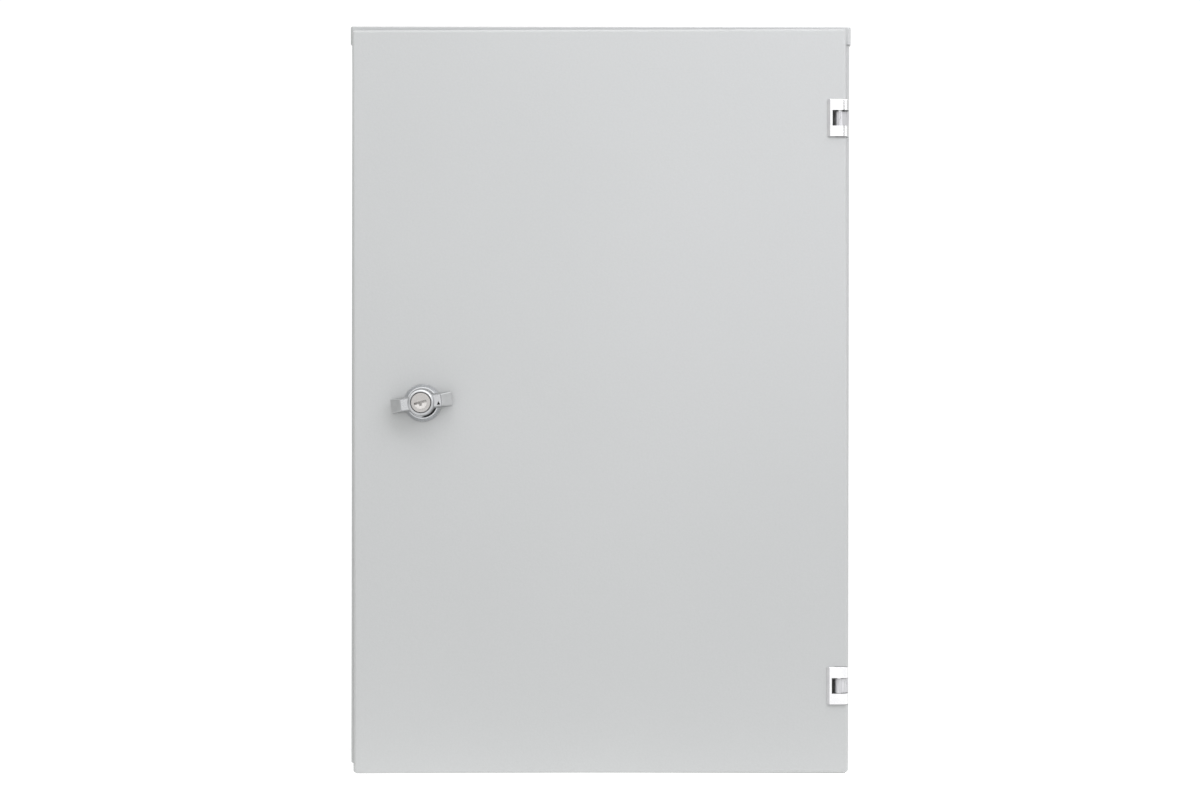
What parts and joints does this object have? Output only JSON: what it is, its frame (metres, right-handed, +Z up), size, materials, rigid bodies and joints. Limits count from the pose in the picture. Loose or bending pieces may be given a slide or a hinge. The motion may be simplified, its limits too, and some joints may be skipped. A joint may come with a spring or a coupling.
{
  "type": "telecom cabinet",
  "caption": "Wall-mounted sheet-steel telecom cabinet with a hinged door, lockable wing-knob latch, rain hood, gland plate and terminal blocks on an inner mounting plate.",
  "frame": {"origin": "centre of the four wall-fixing holes, on the plane of the cabinet's back", "axes": "+Z up, +X to the right seen from the front, the door faces -Y"},
  "size_m": [0.402, 0.22, 0.6],
  "materials": {
    "grey_paint": "light grey powder coat, fine orange peel, satin",
    "hinge_chrome": "bright plated",
    "lock_diecast": "satin plated die casting",
    "plug_nickel": "turned, nickel plated",
    "galvanised": "galvanised sheet",
    "zinc_fastener": "bright zinc",
    "black_rubber": "matt",
    "block_plastic": "pale grey moulding",
    "post_plastic": "black moulding",
    "earth_brass": "bare bar",
    "insulator_red": "moulded"
  },
  "bodies": {
    "cabinet": {"block_frame_left": "galvanised", "block_frame_right": "galvanised", "body_earth_nut": "zinc_fastener", "body_earth_stud": "zinc_fastener", "body_shell": "grey_paint", "bottom_tray": "grey_paint", "cable_grommet_1": "black_rubber", "cable_grommet_2": "black_rubber", "cable_grommet_3": "black_rubber", "cable_grommet_4": "black_rubber", "earth_bar": "earth_brass", "earth_insulators": "insulator_red", "earth_screws": "zinc_fastener", "frame_screws": "zinc_fastener", "gland_plate": "galvanised", "gland_screws": "zinc_fastener", "gland_seal": "black_rubber", "guide_screws": "zinc_fastener", "hinge_body_leaf_lower": "hinge_chrome", "hinge_body_leaf_upper": "hinge_chrome", "hinge_pin_lower": "hinge_chrome", "hinge_pin_upper": "hinge_chrome", "lacing_bar": "galvanised", "lacing_posts": "post_plastic", "mounting_plate": "galvanised", "plate_nuts": "zinc_fastener", "plate_spacers": "zinc_fastener", "plate_studs": "zinc_fastener", "post_screws": "zinc_fastener", "rain_hood": "grey_paint", "terminal_block_left_1": "block_plastic", "terminal_block_left_2": "block_plastic", "terminal_block_left_3": "block_plastic", "terminal_block_left_4": "block_plastic", "terminal_block_left_5": "block_plastic", "terminal_block_left_6": "block_plastic", "terminal_block_right_1": "block_plastic", "terminal_block_right_2": "block_plastic", "terminal_block_right_3": "block_plastic", "terminal_block_right_4": "block_plastic", "terminal_block_right_5": "block_plastic", "terminal_block_right_6": "block_plastic", "wire_guide_lower": "galvanised", "wire_guide_middle": "galvanised", "wire_guide_upper": "galvanised"},
    "door": {"door_panel": "grey_paint", "door_gasket": "black_rubber", "hinge_door_leaf_upper": "hinge_chrome", "hinge_door_leaf_lower": "hinge_chrome", "hinge_leaf_nuts": "zinc_fastener", "lock_rosette": "lock_diecast", "lock_seal": "black_rubber", "lock_nut": "galvanised", "door_earth_stud": "zinc_fastener", "door_earth_nut": "zinc_fastener"},
    "knob": {"wing_knob": "lock_diecast", "lock_cam": "galvanised", "cam_screw": "zinc_fastener"},
    "plug": {"key_plug": "plug_nickel"}
  },
  "joints": [
    {"name": "door_swing", "type": "hinge", "parent": "cabinet", "child": "door", "pos_m": [0.1904, -0.1968, 0], "axis": [0, 0, 1], "range_deg": [0, 130]},
    {"name": "knob_turn", "type": "hinge", "parent": "door", "child": "knob", "pos_m": [-0.1414, -0.2, -0.0022], "axis": [0, -1, 0], "range_deg": [-7.6, 82.4]},
    {"name": "plug_turn", "type": "hinge", "parent": "knob", "child": "plug", "pos_m": [-0.1414, -0.21, -0.0022], "axis": [0, -1, 0], "range_deg": [0, 90]}
  ]
}
